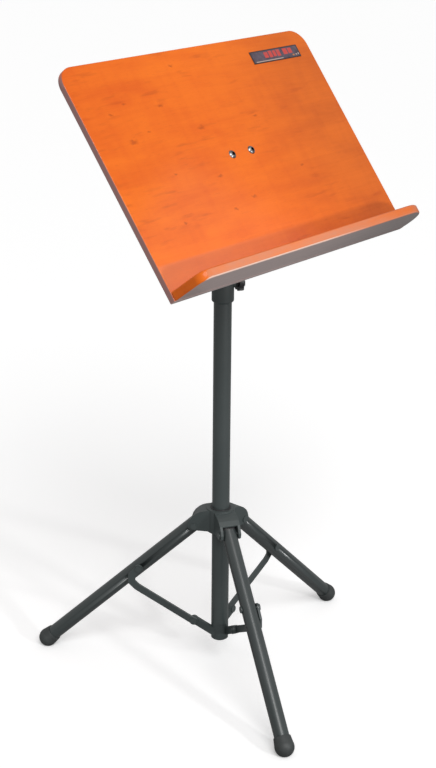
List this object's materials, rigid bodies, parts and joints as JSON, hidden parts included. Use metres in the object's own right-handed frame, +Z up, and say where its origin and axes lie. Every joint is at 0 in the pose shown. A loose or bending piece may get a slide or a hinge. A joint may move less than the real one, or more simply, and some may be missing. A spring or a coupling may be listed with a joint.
{
  "type": "music stand",
  "caption": "Orchestral music stand: a lacquered wooden desk with a ledge, tilting and swivelling on a height-adjustable mast over a folding tripod.",
  "frame": {"origin": "on the floor, under the mast's axis", "axes": "+Z up along the mast, -Y out of the desk's front, +X to the right of a reader who faces the desk"},
  "size_m": [0.537, 0.501, 0.9303],
  "materials": {
    "board_wood": "gloss lacquer",
    "ledge_wood": "gloss lacquer",
    "badge": "satin",
    "plated_steel": "plated",
    "cast_metal": "satin paint",
    "black_metal": "satin powder coat",
    "nylon": "matt",
    "knob_plastic": "satin",
    "foot_rubber": "matt"
  },
  "bodies": {
    "mast": {"mast_tube": "black_metal", "height_collar": "cast_metal", "mast_foot": "cast_metal", "brace_foot_rivets": "black_metal"},
    "hub": {"hub_body": "cast_metal", "hub_bush": "nylon", "leg_pivot_pins": "black_metal"},
    "leg_1": {"leg_tube_1": "black_metal", "leg_plug_1": "nylon", "leg_rivet_1": "black_metal", "foot_cap_1": "foot_rubber"},
    "brace_1": {"brace_1": "black_metal"},
    "leg_2": {"leg_tube_2": "black_metal", "leg_plug_2": "nylon", "leg_rivet_2": "black_metal", "foot_cap_2": "foot_rubber"},
    "brace_2": {"brace_2": "black_metal"},
    "leg_3": {"leg_tube_3": "black_metal", "leg_plug_3": "nylon", "leg_rivet_3": "black_metal", "foot_cap_3": "foot_rubber"},
    "brace_3": {"brace_3": "black_metal"},
    "bush": {"guide_bush": "nylon"},
    "slider": {"inner_tube": "black_metal", "tube_glide": "nylon", "tilt_head": "cast_metal"},
    "desk": {"desk_board": "board_wood", "music_ledge": "ledge_wood", "badge_plate": "badge", "desk_bolts": "plated_steel", "desk_plate": "black_metal", "desk_washers": "plated_steel", "desk_nuts": "plated_steel", "tilt_bolt": "plated_steel", "tilt_washers": "nylon"},
    "tilt_knob": {"tilt_knob": "knob_plastic", "tilt_knob_nut": "plated_steel"},
    "height_knob": {"height_knob": "knob_plastic", "height_screw": "plated_steel"}
  },
  "joints": [
    {"name": "leg_fold", "type": "hinge", "parent": "mast", "child": "brace_1", "pos_m": [-0.019, -0.03291, 0.073], "axis": [-0.866, 0.5, 0], "range_deg": [0, 40.9]},
    {"name": "leg_1_turn", "type": "hinge", "parent": "brace_1", "child": "leg_1", "pos_m": [-0.0615, -0.10651, 0.15253], "axis": [0.866, -0.5, 0], "range_deg": [0, 81.8]},
    {"name": "hub_turn", "type": "hinge", "parent": "leg_1", "child": "hub", "pos_m": [-0.019, -0.03291, 0.23207], "axis": [-0.866, 0.5, 0], "range_deg": [0, 40.9]},
    {"name": "leg_2_turn", "type": "hinge", "parent": "hub", "child": "leg_2", "pos_m": [0.038, 0, 0.23207], "axis": [0, 1, 0], "range_deg": [0, 40.9]},
    {"name": "leg_3_turn", "type": "hinge", "parent": "hub", "child": "leg_3", "pos_m": [-0.019, 0.03291, 0.23207], "axis": [-0.866, -0.5, 0], "range_deg": [0, 40.9]},
    {"name": "brace_2_turn", "type": "hinge", "parent": "mast", "child": "brace_2", "pos_m": [0.038, 0, 0.073], "axis": [0, -1, 0], "range_deg": [0, 40.9]},
    {"name": "brace_3_turn", "type": "hinge", "parent": "mast", "child": "brace_3", "pos_m": [-0.019, 0.03291, 0.073], "axis": [0.866, 0.5, 0], "range_deg": [0, 40.9]},
    {"name": "desk_swivel", "type": "hinge", "parent": "mast", "child": "bush", "pos_m": [0, 0, 0.603], "axis": [0, 0, 1], "continuous": true},
    {"name": "height_slide", "type": "slide", "parent": "bush", "child": "slider", "axis": [0, 0, 1], "range_m": [-0.08, 0.36]},
    {"name": "desk_tilt", "type": "hinge", "parent": "slider", "child": "desk", "pos_m": [0, 0, 0.775], "axis": [-1, 0, 0], "range_deg": [-27.5, 52.5]},
    {"name": "tilt_knob_turn", "type": "hinge", "parent": "desk", "child": "tilt_knob", "pos_m": [0.03, 0, 0.775], "axis": [1, 0, 0], "range_deg": [0, 540]},
    {"name": "height_knob_turn", "type": "hinge", "parent": "mast", "child": "height_knob", "pos_m": [0.02252, -0.013, 0.608], "axis": [0.866, -0.5, 0], "range_deg": [0, 540]}
  ],
  "couplings": [
    {"joint": "leg_1_turn", "follows": "leg_fold", "ratio": 2},
    {"joint": "hub_turn", "follows": "leg_fold", "ratio": 1},
    {"joint": "leg_2_turn", "follows": "leg_fold", "ratio": 1},
    {"joint": "leg_3_turn", "follows": "leg_fold", "ratio": 1},
    {"joint": "brace_2_turn", "follows": "leg_fold", "ratio": 1},
    {"joint": "brace_3_turn", "follows": "leg_fold", "ratio": 1}
  ]
}
